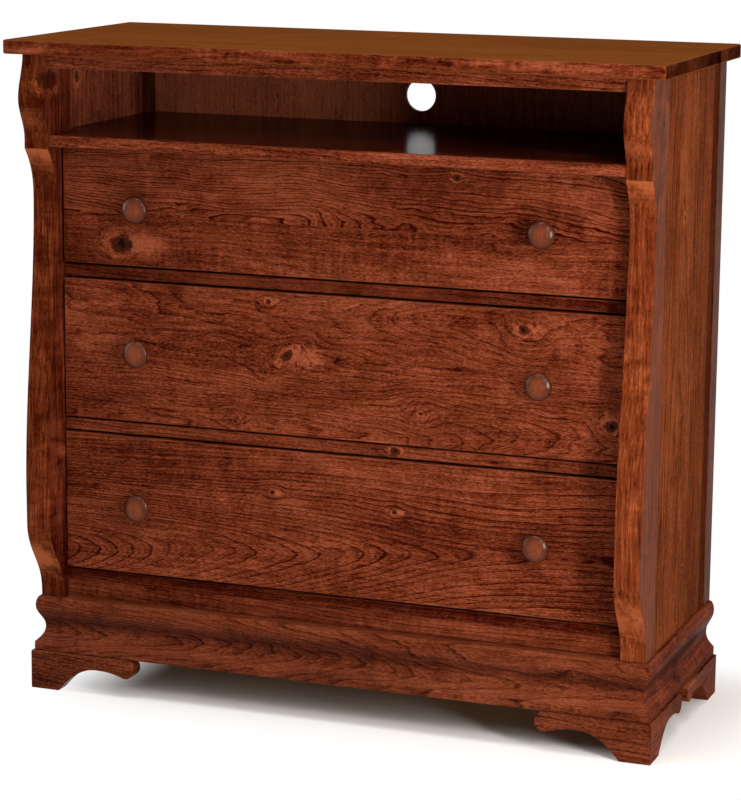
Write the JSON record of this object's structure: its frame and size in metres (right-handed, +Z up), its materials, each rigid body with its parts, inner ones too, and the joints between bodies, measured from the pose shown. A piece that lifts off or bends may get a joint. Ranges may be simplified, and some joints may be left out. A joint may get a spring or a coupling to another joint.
{
  "type": "media chest",
  "caption": "Cherry media chest with sleigh-curved front posts, open media shelf with a cable hole, drawers on side slides, moulded base and bracket feet.",
  "frame": {"origin": "on the floor, at the middle of the top panel's outline", "axes": "+X to the right seen from the front, +Y towards the back, +Z up"},
  "size_m": [1.1, 0.471, 1.098],
  "materials": {
    "top_cherry": "stained cherry, satin-gloss lacquer",
    "frame_cherry": "stained cherry, satin-gloss lacquer",
    "panel_cherry": "stained cherry veneer, satin lacquer",
    "drawer_front_cherry": "stained cherry, satin-gloss lacquer",
    "base_cherry": "stained cherry, satin-gloss lacquer",
    "knob_cherry": "turned and stained cherry, gloss lacquer",
    "drawer_box_maple": "clear-lacquered maple",
    "birch_plywood": "bare birch plywood",
    "zinc_steel": "zinc-plated sheet steel"
  },
  "bodies": {
    "case": {"top_panel": "top_cherry", "left_front_post": "frame_cherry", "right_front_post": "frame_cherry", "left_rear_post": "frame_cherry", "right_rear_post": "frame_cherry", "top_rail": "frame_cherry", "media_shelf": "frame_cherry", "upper_drawer_rail": "frame_cherry", "lower_drawer_rail": "frame_cherry", "bottom_rail": "frame_cherry", "left_side_panel": "panel_cherry", "right_side_panel": "panel_cherry", "back_panel": "panel_cherry", "front_base_moulding": "base_cherry", "left_base_moulding": "base_cherry", "right_base_moulding": "base_cherry", "rear_base_rail": "base_cherry", "front_left_foot_front": "base_cherry", "front_left_foot_side": "base_cherry", "front_right_foot_front": "base_cherry", "front_right_foot_side": "base_cherry", "rear_left_foot_side": "base_cherry", "rear_left_foot_back": "base_cherry", "rear_right_foot_side": "base_cherry", "rear_right_foot_back": "base_cherry", "left_slide_backer": "birch_plywood", "right_slide_backer": "birch_plywood", "drawer_1_left_slide_outer": "zinc_steel", "drawer_1_right_slide_outer": "zinc_steel", "drawer_2_left_slide_outer": "zinc_steel", "drawer_2_right_slide_outer": "zinc_steel", "drawer_3_left_slide_outer": "zinc_steel", "drawer_3_right_slide_outer": "zinc_steel"},
    "drawer_1": {"drawer_1_front": "drawer_front_cherry", "drawer_1_left_knob": "knob_cherry", "drawer_1_right_knob": "knob_cherry", "drawer_1_left_side": "drawer_box_maple", "drawer_1_right_side": "drawer_box_maple", "drawer_1_back": "drawer_box_maple", "drawer_1_bottom": "birch_plywood", "drawer_1_left_slide_inner": "zinc_steel", "drawer_1_right_slide_inner": "zinc_steel"},
    "drawer_2": {"drawer_2_front": "drawer_front_cherry", "drawer_2_left_knob": "knob_cherry", "drawer_2_right_knob": "knob_cherry", "drawer_2_left_side": "drawer_box_maple", "drawer_2_right_side": "drawer_box_maple", "drawer_2_back": "drawer_box_maple", "drawer_2_bottom": "birch_plywood", "drawer_2_left_slide_inner": "zinc_steel", "drawer_2_right_slide_inner": "zinc_steel"},
    "drawer_3": {"drawer_3_front": "drawer_front_cherry", "drawer_3_left_knob": "knob_cherry", "drawer_3_right_knob": "knob_cherry", "drawer_3_left_side": "drawer_box_maple", "drawer_3_right_side": "drawer_box_maple", "drawer_3_back": "drawer_box_maple", "drawer_3_bottom": "birch_plywood", "drawer_3_left_slide_inner": "zinc_steel", "drawer_3_right_slide_inner": "zinc_steel"}
  },
  "joints": [
    {"name": "drawer_1_slide", "type": "slide", "parent": "case", "child": "drawer_1", "axis": [0, -1, 0], "range_m": [0, 0.26]},
    {"name": "drawer_2_slide", "type": "slide", "parent": "case", "child": "drawer_2", "axis": [0, -1, 0], "range_m": [0, 0.26]},
    {"name": "drawer_3_slide", "type": "slide", "parent": "case", "child": "drawer_3", "axis": [0, -1, 0], "range_m": [0, 0.26]}
  ]
}
